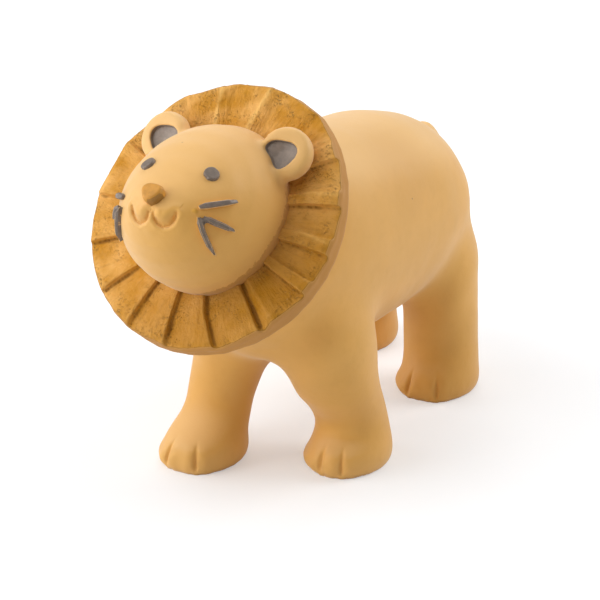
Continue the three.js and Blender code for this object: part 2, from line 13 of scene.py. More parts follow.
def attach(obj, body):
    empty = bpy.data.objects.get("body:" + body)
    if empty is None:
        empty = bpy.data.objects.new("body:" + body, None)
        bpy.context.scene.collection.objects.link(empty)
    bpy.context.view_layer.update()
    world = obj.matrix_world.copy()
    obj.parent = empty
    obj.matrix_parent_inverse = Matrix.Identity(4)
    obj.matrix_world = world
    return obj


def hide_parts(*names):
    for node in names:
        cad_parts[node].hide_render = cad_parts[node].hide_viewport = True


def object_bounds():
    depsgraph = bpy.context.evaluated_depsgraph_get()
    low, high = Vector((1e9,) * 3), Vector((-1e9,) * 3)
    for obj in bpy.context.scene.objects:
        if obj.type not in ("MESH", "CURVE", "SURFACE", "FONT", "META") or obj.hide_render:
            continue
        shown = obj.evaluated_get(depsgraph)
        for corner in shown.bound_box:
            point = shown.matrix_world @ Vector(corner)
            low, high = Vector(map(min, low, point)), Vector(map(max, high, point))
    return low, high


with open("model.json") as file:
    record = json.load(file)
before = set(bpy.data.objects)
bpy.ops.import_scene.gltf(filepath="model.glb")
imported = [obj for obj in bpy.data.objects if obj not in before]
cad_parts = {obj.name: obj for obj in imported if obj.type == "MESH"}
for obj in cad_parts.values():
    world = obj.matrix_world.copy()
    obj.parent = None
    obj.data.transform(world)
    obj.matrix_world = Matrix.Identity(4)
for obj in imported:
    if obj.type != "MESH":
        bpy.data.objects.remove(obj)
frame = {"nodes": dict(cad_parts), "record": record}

bl_info = {
    "name": "Rubber Lion",
    "version": (1, 0, 0),
    "blender": (4, 5, 0),
    "location": "View3D > Sidebar > Rubber Lion",
    "description": "Dresses a rubber lion toy: latex skins, painted mane and face, and a white stage",
    "category": "Add Mesh",
}

CAD_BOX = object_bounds()
MM = 0.001
BODY = "root"
LEGS = ("front_left_leg", "front_right_leg", "hind_left_leg", "hind_right_leg")
EARS = ("left_ear", "right_ear")
EAR_LININGS = ("left_ear_inner", "right_ear_inner")

# A piece may have 200,000 triangles, and is kept a little under that
MOST_TRIANGLES = 190_000

# A piece's side is its root where it lies closer than this to the skin that carries it
FEATURE_GAP = 0.6 * MM
MANE_GAP = 0.7 * MM

# How far small pieces swell: two whiskers to one fork, a lining to its ear's walls, and the tuft. Then
# how far a lining sinks back at its rim, and the size of the faces on the tuft.
FORK_FILL = 0.4 * MM
LINING_FILL = 0.6 * MM
TUFT_FILL = 0.25 * MM
LINING_SINK = 0.35 * MM
TUFT_CELL = 0.3 * MM

# The middle of each sole, and the clefts between its toes in degrees from straight ahead to the left
SOLES = {mount["name"]: Vector(mount["pos_m"]) for mount in frame["record"]["mounts"]}
CLEFTS = {
    "front_left_sole": (-10, 17),
    "front_right_sole": (-22, 18),
    "hind_left_sole": (-17, 22),
    "hind_right_sole": (-26, 12),
}
FRONT_LEFT = SOLES["front_left_sole"]

# Paws, in millimetres: their reach from the middle of the sole and their height, the clefts' width,
# above and at the sole, the crown of a toe beside its cleft, and the bulge of the outer toes
PAW_REACH = 16
PAW_HEIGHT = 12
CLEFT_WIDTH = 0.5
CLEFT_FOOT_WIDTH = 0.9
CROWN_ASIDE = 2.0
CROWN_WIDTH = 1.3
BULGE_HEIGHT = 1.9
BULGE_WIDTH = 2.4
BULGED_PAWS = ("front_left_sole", "front_right_sole", "hind_left_sole")

# The head's own frame: its face looks along -Y, its left is +X and its crown is +Z
HEAD_FROM_SOLE = Vector((-20.65, -29.3, 70.3)) * MM
HEAD_FRAME = (
    Matrix.Translation(FRONT_LEFT + HEAD_FROM_SOLE)
    @ Matrix.Rotation(math.radians(-2.7), 4, "Z")
    @ Matrix.Rotation(math.radians(-37.2), 4, "X")
    @ Matrix.Rotation(math.radians(-4.0), 4, "Y")
)
TO_HEAD = HEAD_FRAME.inverted()

# The mouth, on the head's own axes in millimetres: a lip that curves out on each side, and a line above
FACE_CENTRE = 0.8
MOUTH_UP = -6.6
LIP = ((0.5, -1.5), (0.8, -2.5), (1.7, -3.5), (3.0, -3.9), (4.3, -3.4), (5.3, -2.2), (5.9, -0.6))
MOUTH_LINE = ((0, 0.6), (0, -0.7))
LINE_WIDTH = 0.55

# A lip's groove is steeper on its lower side. It has a thin raised edge below and a swelling above.
GROOVE_WIDTH_ABOVE = 0.36
GROOVE_WIDTH_BELOW = 0.26
EDGE_BELOW = 1.0
EDGE_WIDTH = 0.45
SWELLING_ABOVE = 1.5
SWELLING_WIDTH = 0.8

# The part of the head whose skin is finer, for the mouth: half its width, its top, foot and back
SNOUT_HALF_WIDTH = 8.5
SNOUT_TOP = -4
SNOUT_FOOT = -13
SNOUT_BACK = -18

# Down and to the left, on the head's own axes: the way that the shaded side of the nose faces
UNDER = np.array((0.5, 0, -0.85))

# Where a drop of mane paint landed, beside the whiskers, and how far it stands out
DROP = (9.9, -5.6)
DROP_WIDTH = 0.45
DROP_HEIGHT = 0.35 * MM

# The middle of a deeper-coloured patch on the body's left side
FLANK = (22 * MM, 12 * MM, 70 * MM)

# The camera's target from the middle of the front left sole, its sensor's width in millimetres, and
# the nearest and farthest that it sees, in metres
TARGET_FROM_SOLE = Vector((-30.519, 28.680, 25.134)) * MM
SENSOR_WIDTH = 36
CLIP_START = 0.01
CLIP_END = 20

# Half the floor's width, in metres, and how far off it begins and ends to fade to white. Its colour for
# light that bounces, its colour for the camera, and the glow near the lion that the camera sees on it.
FLOOR_REACH = 4.0
FADE_START = 0.25
FADE_END = 0.8
FLOOR_WHITE = (0.82, 0.82, 0.82)
FLOOR_SEEN = (0.64, 0.655, 0.675)
FLOOR_GLOW = (0.35, 0.35, 0.35)
WHITE = (1, 1, 1)

# Large soft lamps, in watts and metres, all turned to the middle of the lion
MIDDLE = Vector((0, 0, 45 * MM))
LAMP_SIZE = 0.5
LAMPS = {
    "left": (2.2, (-0.75, -0.2, 0.35)),
    "front_left": (2.65, (-0.5, -0.6, 0.35)),
    "over_face": (1.6, (-0.25, -0.35, 0.75)),
    "back_right": (3.9, (0.5, 0.55, 0.5)),
    "over_back": (1.75, (-0.2, 0.5, 0.7)),
}

# Ridges of the mane where the paint is worn thin and a highlight is painted on as a bright line: their
# angles clockwise from the top, at the inner end and at the rim, and how strong each is. Then their width in
# millimetres, and their rise.
WORN_AND_LIT_RIDGES = ((343.7, 347.3, 1.0), (6.5, 10.4, 1.0), (68.0, 73.6, 0.4), (90.9, 94.8, 0.35))
RIDGE_WIDTH = 0.55
RIDGE_RISE = 0.12 * MM

# How much the bending at a point with four neighbours depends on its own place: 4 * 4 + 4
OWN_BENDING = 20

# The lumps that the maker's hands left in the mane are about this far across
LUMP_SIZE = 3.5 * MM


class LatexSettings(bpy.types.PropertyGroup):
    """Sizes and colours of the bare latex"""

    body_cell: FloatProperty(
        name="Body cell", description="Size of the faces on the body", default=0.8 * MM, unit="LENGTH")
    head_cell: FloatProperty(
        name="Head cell", description="Size of the faces on the head", default=0.3 * MM, unit="LENGTH")
    seam_fill: FloatProperty(
        name="Seam fill", description="How far a skin swells to close the seams",
        default=0.22 * MM, unit="LENGTH")
    leg_blend: FloatProperty(
        name="Leg blend", description="Reach of the soft blend round a leg", default=11 * MM, unit="LENGTH")
    tail_blend: FloatProperty(
        name="Tail blend", description="Reach of the soft blend along the tail",
        default=2.4 * MM, unit="LENGTH")
    ear_blend: FloatProperty(
        name="Ear blend", description="Reach of the soft blend round an ear", default=2 * MM, unit="LENGTH")
    body_fairness: FloatProperty(
        name="Body fairness", description="How stiffly the body's skin bends", default=500, min=0)
    head_fairness: FloatProperty(
        name="Head fairness", description="How stiffly the head's skin bends", default=250, min=0)
    toe_depth: FloatProperty(
        name="Toe depth", description="Depth of the clefts between toes", default=0.8 * MM, unit="LENGTH")
    toe_bulge: FloatProperty(
        name="Toe bulge", description="How far the outer toes bulge", default=1.2 * MM, unit="LENGTH")
    mouth_depth: FloatProperty(
        name="Mouth depth", description="Depth of the mouth's grooves", default=0.49 * MM, unit="LENGTH")
    colour: FloatVectorProperty(
        name="Latex", description="Colour of the latex", subtype="COLOR", default=(0.73, 0.39, 0.088))
    # pale is painted on as a highlight: on the upper sides, the front toes, the head's right side and the
    # bare walls of the raised features. The ears are mixed towards it too.
    pale: FloatVectorProperty(
        name="Pale latex", description="Colour of the bloom on the upper sides", subtype="COLOR",
        default=(0.80, 0.50, 0.20))
    # deep is the darker grain, and is also painted as shade in folds, on the legs and on the head's left
    # side. The flank's patch uses it too.
    deep: FloatVectorProperty(
        name="Deep latex", description="Colour in folds and low down", subtype="COLOR",
        default=(0.59, 0.285, 0.048))
    speck: FloatVectorProperty(
        name="Specks", description="Colour of the few dark specks", subtype="COLOR",
        default=(0.16, 0.075, 0.03))


class ManeSettings(bpy.types.PropertyGroup):
    """Sizes and colours of the painted mane"""

    cell: FloatProperty(
        name="Mane cell", description="Size of the faces on the mane", default=0.28 * MM, unit="LENGTH")
    root: FloatProperty(
        name="Root", description="How deep the mane is set in the head", default=1.2 * MM, unit="LENGTH")
    fairness: FloatProperty(
        name="Mane fairness", description="How stiffly the mane's skin bends", default=1.5, min=0)
    ease: FloatProperty(name="Ease", description="How much flatter the pleats at the top lie", default=0.4)
    wobble: FloatProperty(
        name="Wobble", description="How unevenly the mane was shaped by hand",
        default=0.16 * MM, unit="LENGTH")
    colour: FloatVectorProperty(
        name="Mane paint", description="Colour of the paint", subtype="COLOR", default=(0.55, 0.24, 0.0095))
    # worn is also painted on as light close round the head, and as a highlight along the pleats' raised
    # edges
    worn: FloatVectorProperty(
        name="Thin paint", description="Colour where the paint is thin", subtype="COLOR",
        default=(0.79, 0.42, 0.108))
    # A dark ochre, mixed in towards the mane's lower left and into the paint that strayed onto the head
    dark_ochre: FloatVectorProperty(
        name="Heavy paint", description="Colour of the heavy coat low down", subtype="COLOR",
        default=(0.42, 0.174, 0.003))
    stain: FloatVectorProperty(
        name="Stained latex", description="Colour of the rim's stained latex", subtype="COLOR",
        default=(0.44, 0.2, 0.052))
    # Besides paint that really gathers, this colour is painted as shade in the creases between the pleats
    thick_paint_and_shade: FloatVectorProperty(
        name="Thick paint", description="Colour where the paint gathers", subtype="COLOR",
        default=(0.25, 0.10, 0.004))
    # The bright ridges carry a painted highlight as well as thin paint
    lit_worn_ridge: FloatVectorProperty(
        name="Worn ridges", description="Colour of the ridges that are worn bright", subtype="COLOR",
        default=(0.84, 0.50, 0.14))
    bead: FloatVectorProperty(
        name="Beads", description="Colour of the dried beads of paint", subtype="COLOR",
        default=(0.78, 0.47, 0.15))


class FaceSettings(bpy.types.PropertyGroup):
    """Sizes and colours of the painted features"""

    cell: FloatProperty(
        name="Feature cell", description="Size of the faces on a feature", default=0.13 * MM, unit="LENGTH")
    root: FloatProperty(
        name="Root", description="How deep a feature is set in the skin", default=0.35 * MM, unit="LENGTH")
    dish: FloatProperty(
        name="Dish", description="How far an ear's lining sinks in the middle",
        default=0.7 * MM, unit="LENGTH")
    grey: FloatVectorProperty(
        name="Grey paint", description="Colour of eyes, ears and whiskers", subtype="COLOR",
        default=(0.195, 0.149, 0.116))
    nose: FloatVectorProperty(
        name="Nose paint", description="Colour of the nose", subtype="COLOR", default=(0.50, 0.225, 0.025))
    drop: FloatVectorProperty(
        name="Drop", description="Colour of the drop beside the whiskers", subtype="COLOR",
        default=(0.66, 0.33, 0.04))


class StageSettings(bpy.types.PropertyGroup):
    """The camera, the lamps and the floor"""

    azimuth: FloatProperty(name="Azimuth", description="Camera's turn round the lion", default=29.529)
    elevation: FloatProperty(name="Elevation", description="Camera's height over the floor", default=23.454)
    distance: FloatProperty(
        name="Distance", description="From the camera to its target", default=641.03 * MM, unit="LENGTH")
    lens: FloatProperty(name="Lens", description="Focal length in millimetres", default=150)
    ambient: FloatProperty(name="Ambient", description="Light from all round", default=0.4)
    power: FloatProperty(name="Power", description="Turns all the lamps up or down together", default=1.0)


# Meshes

def add_object(name, data):
    """Puts a mesh, a lamp or a camera in the scene"""
    thing = bpy.data.objects.new(name, data)
    bpy.context.scene.collection.objects.link(thing)
    return thing


def merged_copy(node):
    """A CAD node as a bmesh whose loose triangles are merged"""
    copy = bmesh.new()
    copy.from_mesh(frame["nodes"][node].data)
    bmesh.ops.remove_doubles(copy, verts=copy.verts, dist=0.001 * MM)
    copy.normal_update()
    return copy


def search_tree(nodes):
    """A tree that finds the nearest point on these CAD nodes"""
    whole = bmesh.new()
    for node in nodes:
        whole.from_mesh(frame["nodes"][node].data)
    tree = BVHTree.FromBMesh(whole)
    whole.free()
    return tree


def sink_roots(copy, skin, gap, depth):
    """Carries the side of a piece that faces a skin into that skin"""
    for vertex in copy.verts:
        place, _, _, distance = skin.find_nearest(vertex.co)
        if 0 < distance < gap:
            vertex.co = place + (place - vertex.co).normalized() * depth


def swell(copy, amount):
    copy.normal_update()
    moves = [vertex.normal * amount for vertex in copy.verts]
    for vertex, move in zip(copy.verts, moves):
        vertex.co += move


def edge_ends(mesh):
    ends = np.empty(len(mesh.edges) * 2, dtype=np.int64)
    mesh.edges.foreach_get("vertices", ends)
    return ends.reshape(-1, 2).T


def fair(mesh, hold, stiffness):
    """Takes out facets. What the first go draws in is given back before the second, to keep the size."""
    start = points(mesh)
    drawn = bend_least(mesh, start, hold, stiffness)
    put_points(mesh, bend_least(mesh, 2 * start - drawn, hold, stiffness))


def bend_least(mesh, places, hold, stiffness, passes=100):
    """The skin that bends as little as it can, while hold keeps each point near its place"""
    a, b = edge_ends(mesh)
    count = len(mesh.vertices)

    def tension(values):
        flow = (values[a] - values[b]).T
        return np.stack([np.bincount(a, part, count) - np.bincount(b, part, count) for part in flow], axis=1)

    def pull(values):
        return weight * values + stiffness * tension(tension(values))

    weight = hold[:, None]
    ease = 1 / (weight + OWN_BENDING * stiffness)
    rest = -stiffness * tension(tension(places))
    step = ease * rest
    power = np.sum(rest * step)
    for _ in range(passes):
        pulled = pull(step)
        length = power / np.sum(step * pulled)
        places = places + length * step
        rest = rest - length * pulled
        eased = ease * rest
        last, power = power, np.sum(rest * eased)
        step = eased + step * (power / last)
    return places


def finished_mesh(piece):
    """Bakes a piece's modifiers into its mesh"""
    graph = bpy.context.evaluated_depsgraph_get()
    mesh = bpy.data.meshes.new_from_object(piece.evaluated_get(graph))
    piece.modifiers.clear()
    piece.data = mesh
    mesh.name = piece.name


def remesh(piece, cell):
    """One even, closed skin over everything in the piece, without what lies inside it"""
    modifier = piece.modifiers.new("Skin", "REMESH")
    modifier.mode = "VOXEL"
    modifier.voxel_size = cell
    modifier.use_smooth_shade = True
    finished_mesh(piece)
    keep_outer(piece)


def keep_outer(piece):
    whole = bmesh.new()
    whole.from_mesh(piece.data)
    whole.verts.ensure_lookup_table()
    seen = set()
    islands = []
    for vertex in whole.verts:
        if vertex in seen:
            continue
        island, front = [], [vertex]
        seen.add(vertex)
        while front:
            at = front.pop()
            island.append(at)
            for edge in at.link_edges:
                other = edge.other_vert(at)
                if other not in seen:
                    seen.add(other)
                    front.append(other)
        islands.append(island)
    islands.sort(key=len)
    inner = [vertex for island in islands[:-1] for vertex in island]
    bmesh.ops.delete(whole, geom=inner, context="VERTS")
    whole.to_mesh(piece.data)
    whole.free()


def relax(piece, passes):
    modifier = piece.modifiers.new("Relax", "SMOOTH")
    modifier.factor = 0.5
    modifier.iterations = passes
    finished_mesh(piece)


def points(mesh):
    places = np.empty(len(mesh.vertices) * 3)
    mesh.vertices.foreach_get("co", places)
    return places.reshape(-1, 3)


def normals(mesh):
    directions = np.empty(len(mesh.vertices) * 3)
    mesh.vertex_normals.foreach_get("vector", directions)
    return directions.reshape(-1, 3)


def put_points(mesh, places):
    mesh.vertices.foreach_set("co", places.ravel())
    mesh.update()


def lift(mesh, amounts):
    """Moves each point along its normal by its own amount"""
    put_points(mesh, points(mesh) + normals(mesh) * amounts[:, None])


def distances(mesh, tree):
    return np.array([tree.find_nearest(vertex.co)[3] for vertex in mesh.vertices])


def spread(mesh, values, passes):
    """A field on a mesh's points, evened out along its edges"""
    a, b = edge_ends(mesh)
    here, there = np.concatenate((a, b)), np.concatenate((b, a))
    count = np.maximum(np.bincount(here, minlength=len(values)), 1)
    for _ in range(passes):
        values = 0.5 * values + 0.5 * np.bincount(here, values[there], len(values)) / count
    return values


def hollowness(mesh, passes):
    """How far each point lies below its neighbours, in millimetres"""
    places, directions = points(mesh), normals(mesh)
    around = np.stack([spread(mesh, places[:, axis], 4) for axis in range(3)], axis=1)
    return spread(mesh, np.sum((around - places) * directions, axis=1) / MM, passes)


def keep_field(mesh, name, values):
    """Keeps one number for each point, which the materials read"""
    field = mesh.attributes.new(name, "FLOAT", "POINT")
    field.data.foreach_set("value", np.asarray(values, dtype=np.float32))


def keep_shape_fields(mesh, passes=2):
    """Keeps where the skin lies in a fold, and where it faces up"""
    keep_field(mesh, "fold", hollowness(mesh, passes))
    keep_field(mesh, "upward", ramp(normals(mesh)[:, 2], 0.15, 0.95))


def ramp(values, low, high):
    """0 below low, 1 above high, and smooth between"""
    part = np.clip((values - low) / (high - low), 0, 1)
    return part * part * (3 - 2 * part)


def bell(away, width):
    """1 where away is 0, and almost 0 at twice the width"""
    return np.exp(-((away / width) ** 2))


def in_head(places):
    """Places in the head's own frame, in millimetres"""
    turn = np.array(TO_HEAD.to_3x3())
    return (places @ turn.T + np.array(TO_HEAD.translation)) / MM


def head_turned(directions):
    """Directions on the head's own axes"""
    return directions @ np.array(TO_HEAD.to_3x3()).T


def cast_skin(name, nodes, cell, fill, roots=None, gap=0.0, depth=0.0):
    """A piece with one skin over copies of CAD nodes, which may be rooted depth deep in another skin"""
    gathered = bmesh.new()
    for node in nodes:
        copy = merged_copy(node)
        if roots is not None:
            sink_roots(copy, roots, gap, depth)
        swell(copy, fill)
        part = bpy.data.meshes.new("part")
        copy.to_mesh(part)
        copy.free()
        gathered.from_mesh(part)
        bpy.data.meshes.remove(part)
    mesh = bpy.data.meshes.new(name)
    gathered.to_mesh(mesh)
    gathered.free()
    piece = add_object(name, mesh)
    remesh(piece, cell)
    return piece


def wobble(mesh, size, amount):
    """Makes a surface uneven, as if shaped by hand, in lumps about size across"""
    lumps = np.array([noise.noise(vertex.co / size) for vertex in mesh.vertices])
    lift(mesh, lumps * amount)


def refine(mesh, chosen, cuts):
    """Splits the faces between chosen points, for detail finer than the skin's own faces"""
    whole = bmesh.new()
    whole.from_mesh(mesh)
    edges = [edge for edge in whole.edges if all(chosen[vertex.index] for vertex in edge.verts)]
    bmesh.ops.subdivide_edges(whole, edges=edges, cuts=cuts, use_grid_fill=True, smooth=1.0)
    whole.to_mesh(mesh)
    whole.free()


def draw_in(piece, amount):
    """Takes back what the skin swelled by"""
    mesh = piece.data
    put_points(mesh, points(mesh) - normals(mesh) * amount)


def thin(piece):
    """Collapses the faces that matter least, where a skin has more than it may have"""
    count = len(piece.data.loops) - 2 * len(piece.data.polygons)
    if count > MOST_TRIANGLES:
        modifier = piece.modifiers.new("Thin", "DECIMATE")
        modifier.ratio = MOST_TRIANGLES / count
        finished_mesh(piece)


def near_joint(mesh, first, second, reach):
    """1 where two groups of CAD nodes meet, and 0 from reach away"""
    far = np.maximum(distances(mesh, search_tree(first)), distances(mesh, search_tree(second)))
    return 1 - ramp(far, reach * 0.25, reach)


def finish_piece(piece, nodes, material):
    """Thins a piece, keeps it in the CAD's box, gives it its material and smooth shading, hides the CAD
    nodes that it stands for and hangs it on the body
    """
    thin(piece)
    put_points(piece.data, np.clip(points(piece.data), *CAD_BOX))
    piece.data.materials.clear()
    piece.data.materials.append(material)
    piece.data.polygons.foreach_set("use_smooth", [True] * len(piece.data.polygons))
    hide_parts(*nodes)
    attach(piece, BODY)


# Materials

class Wire:
    """A socket in an expression: + - * and ** add its Math nodes"""

    def __init__(self, finish, socket):
        self.finish = finish
        self.socket = socket

    def maths(self, operation, *values):
        sockets = dict(enumerate(values))
        return self.finish.node("ShaderNodeMath", {"operation": operation}, sockets)["Value"]

    def __add__(self, other):
        return self.maths("ADD", self, other)

    __radd__ = __add__

    def __sub__(self, other):
        return self.maths("SUBTRACT", self, other)

    def __rsub__(self, other):
        return self.maths("SUBTRACT", other, self)

    def __mul__(self, other):
        return self.maths("MULTIPLY", self, other)

    __rmul__ = __mul__

    def __pow__(self, other):
        return self.maths("POWER", self, other)

    def between(self, low, high):
        """0 at low and 1 at high, smooth between"""
        settings = {"interpolation_type": "SMOOTHSTEP"}
        sockets = {"Value": self, "From Min": low, "From Max": high}
        return self.finish.node("ShaderNodeMapRange", settings, sockets)["Result"]


class Finish:
    """A procedural material, built node by node"""

    def __init__(self, name):
        self.material = bpy.data.materials.new(name)
        self.material.use_nodes = True
        self.tree = self.material.node_tree
        self.tree.nodes.clear()

    def node(self, kind, settings=None, sockets=None):
        """Adds a node. Its settings are set first, then its sockets get values or links."""
        node = self.tree.nodes.new(kind)
        for key, value in (settings or {}).items():
            setattr(node, key, value)
        for key, value in (sockets or {}).items():
            socket = node.inputs[key]
            if isinstance(value, Wire):
                self.tree.links.new(value.socket, socket)
            else:
                socket.default_value = value
        return {output.name: Wire(self, output) for output in node.outputs if output.enabled}

    def field(self, name):
        return self.node("ShaderNodeAttribute", {"attribute_name": name})["Fac"]

    def place(self):
        return self.node("ShaderNodeTexCoord")["Object"]

    def axes(self, place):
        return self.node("ShaderNodeSeparateXYZ", None, {"Vector": place})

    def vector(self, operation, *values):
        return self.node("ShaderNodeVectorMath", {"operation": operation}, dict(enumerate(values)))

    def noise(self, place, size, detail, roughness=0.5):
        """Noise whose patches are about size metres across, from 0 to 1"""
        sockets = {"Vector": place, "Scale": 1 / size, "Detail": detail, "Roughness": roughness}
        return self.node("ShaderNodeTexNoise", None, sockets)["Fac"]

    def spots(self, place, size, reach):
        """Sparse round spots, 1 in the middle of each"""
        cell = self.node("ShaderNodeTexVoronoi", {"feature": "F1"}, {"Vector": place, "Scale": 1 / size})
        return 1 - cell["Distance"].between(reach * 0.4, reach)

    def mix(self, amount, first, second):
        """One colour into another. The Mix node's sockets 6 and 7 are its colours."""
        settings = {"data_type": "RGBA", "clamp_factor": True}
        sockets = {0: amount, 6: opaque(first), 7: opaque(second)}
        return self.node("ShaderNodeMix", settings, sockets)["Result"]

    def bump(self, height, distance, strength, normal=None):
        sockets = {"Height": height, "Distance": distance, "Strength": strength}
        if normal is not None:
            sockets["Normal"] = normal
        return self.node("ShaderNodeBump", None, sockets)["Normal"]

    def surface(self, **sockets):
        """Ends the material in a shader with these sockets"""
        named = {
            key.replace("_", " ").title().replace("Ior", "IOR"): value for key, value in sockets.items()}
        return self.ending(self.node("ShaderNodeBsdfPrincipled", None, named)["BSDF"])

    def ending(self, shader):
        self.node("ShaderNodeOutputMaterial", None, {"Surface": shader})
        return self.material


def opaque(colour):
    """A colour as a socket takes it. One that comes from a node is left as it is."""
    return colour if isinstance(colour, Wire) else (*colour[:3], 1)


def shade(colour, by):
    return tuple(min(1.0, part * by) for part in colour)


def latex_colour(finish, place, settings, highlight=0.7):
    """Creamy latex: clouds and grain, a painted highlight on top and on the front toes, painted shade in
    folds and on the legs
    """
    clouds = finish.noise(place, 16 * MM, 3)
    grain = finish.noise(place, 2.4 * MM, 3)
    base = finish.mix(clouds.between(0.35, 0.7), shade(settings.colour, 0.97), shade(settings.colour, 1.04))
    base = finish.mix(grain.between(0.45, 0.75) * 0.12, base, settings.deep)
    # Painted highlight: the surfaces that face up are mixed towards the pale colour
    base = finish.mix(finish.field("upward").between(0.25, 0.95) * highlight, base, settings.pale)
    toes, legs = leg_light_and_shade(finish, place)
    flank = 1 - finish.vector("DISTANCE", place, FLANK)["Value"].between(4 * MM, 18 * MM)
    # Painted highlight on the front toes, then painted shade on the legs. The patch on the flank is a deeper
    # colour.
    base = finish.mix(toes, base, settings.pale)
    base = finish.mix(legs + flank * 0.35, base, settings.deep)
    # Painted shade in the folds
    base = finish.mix(finish.field("fold").between(0.03, 0.16) * 0.08, base, settings.deep)
    return finish.mix(finish.spots(place, 9 * MM, 0.035) * 0.6, base, settings.speck)


def leg_light_and_shade(finish, place):
    """A painted highlight on the front toes, and painted shade on the front shins and the lower hind legs,
    most on the left hind leg
    """
    x, y, z = finish.axes(place).values()
    hind = y.between(-5 * MM, 15 * MM)
    shin_shade = z.between(0.0, 14 * MM) * (1 - z.between(16 * MM, 40 * MM)) * 0.3
    low = (1 - z.between(0.0, 26 * MM)) * 0.45
    inner = (1 - x.between(11 * MM, 22 * MM)) * (1 - z.between(20 * MM, 36 * MM)) * 0.3
    left = x.between(-12 * MM, 2 * MM) * 0.9 + 0.1
    toes = (1 - z.between(0.0, 9 * MM)) * (1 - hind) * 0.25
    return toes, shin_shade * (1 - hind) + (low + inner) * hind * left


def latex_surface(finish, place, colour):
    """Matte, with a soft sheen, fine pores and low swells"""
    pores = finish.noise(place, 0.55 * MM, 2)
    swells = finish.noise(place, 5 * MM, 2)
    relief = finish.bump(pores, 0.02 * MM, 1.0, finish.bump(swells, 0.15 * MM, 0.7))
    return finish.surface(
        base_color=colour, roughness=finish.noise(place, 7 * MM, 2) * 0.14 + 0.5, normal=relief,
        sheen_weight=0.26, sheen_roughness=0.45, specular_ior_level=0.4)


def latex_material(settings):
    finish = Finish("latex")
    place = finish.place()
    return latex_surface(finish, place, latex_colour(finish, place, settings))


def head_place(finish, place):
    """Turns a place on the piece into the head's own frame"""
    turn = TO_HEAD.to_euler("XYZ")
    sockets = {"Vector": place, "Rotation": tuple(turn), "Location": tuple(TO_HEAD.translation)}
    return finish.node("ShaderNodeMapping", {"vector_type": "POINT"}, sockets)["Vector"]


def mane_colour(finish, place, settings):
    """Ochre paint brushed outward along the pleats. Returns its colour and its relief."""
    local = head_place(finish, place)
    x, y, z = finish.axes(local).values()
    reach = (x * x + z * z) ** 0.5
    streaks = brush_streaks(finish, x.maths("ARCTAN2", x, z), reach, y)
    blots = finish.noise(place, 2.6 * MM, 4, 0.65)
    clouds = finish.noise(place, 9 * MM, 3, 0.6)
    fold = finish.field("fold")
    grit = finish.noise(place, 0.55 * MM, 3, 0.7)
    rim = reach.between(28 * MM, 32 * MM) * 0.5 + 0.5
    beads = grit.between(0.57, 0.65) * finish.noise(place, 6 * MM, 2).between(0.5, 0.6) * rim
    pits = (1 - grit.between(0.34, 0.42)) * finish.noise(local, 7 * MM, 2).between(0.53, 0.63) * rim
    # Darker towards the lower left of the mane, on the head's axes
    low_left = 1 - (z * 0.8 - x * 0.6).between(-26 * MM, 3 * MM)
    # Painted light on the paint close round the head, except towards its right side (-X)
    painted_light_by_head = (1 - reach.between(17 * MM, 23 * MM)) * x.between(-16 * MM, -6 * MM)
    colour = finish.mix(clouds.between(0.3, 0.7), settings.colour, settings.worn)
    coats = (
        (low_left * 0.75, settings.dark_ochre),
        (painted_light_by_head * 0.5, settings.worn),
        (blots.between(0.5, 0.75) * 0.25, settings.thick_paint_and_shade),
        (streaks.between(0.5, 0.75) * 0.2, settings.thick_paint_and_shade),
        # Paint worn thin, and a painted highlight, along the raised edges of the pleats
        ((1 - fold.between(-0.045, -0.006)) * 0.5, settings.worn),
        # Painted shade in the creases between the pleats
        (fold.between(0.022, 0.058), settings.thick_paint_and_shade),
        # Thin paint and a painted highlight along the listed ridges
        (finish.field("wear_and_highlight") * clouds.between(0.25, 0.5) * 0.8, settings.lit_worn_ridge),
        (pits * 0.35, settings.thick_paint_and_shade),
        (beads * 0.5, settings.bead),
    )
    for amount, coat in coats:
        colour = finish.mix(amount, colour, coat)
    return colour, streaks * 0.9 + blots * 1.6 + beads * 1.2 - pits * 0.9


def brush_streaks(finish, turn, reach, depth):
    """Noise drawn out along the mane's radius, as a brush leaves it"""
    sockets = {"X": turn * 0.024, "Y": reach * 0.16, "Z": depth * 0.4}
    return finish.noise(finish.node("ShaderNodeCombineXYZ", None, sockets)["Vector"], 0.7 * MM, 3, 0.62)


def mane_material(latex, mane):
    """Paint on the pleated face, and bare latex round the rim and on the back"""
    finish = Finish("mane_paint")
    place = finish.place()
    wander = finish.noise(place, 1.3 * MM, 3, 0.6)
    cover = finish.field("paint") + (wander - 0.5) * 0.7
    painted = cover.between(0.42, 0.54)
    paint, relief = mane_colour(finish, place, mane)
    paint = finish.mix((1 - cover.between(0.55, 0.85)) * 0.55, paint, mane.thick_paint_and_shade)
    bare = finish.mix(finish.field("stain") * 0.8, latex_colour(finish, place, latex), mane.stain)
    colour = finish.mix(painted, bare, paint)
    bump = finish.bump(relief * painted, 0.36 * MM, 1.0)
    roughness = finish.noise(place, 2 * MM, 3) * 0.2 + 0.5
    return finish.surface(base_color=colour, roughness=roughness, normal=bump, specular_ior_level=0.22)


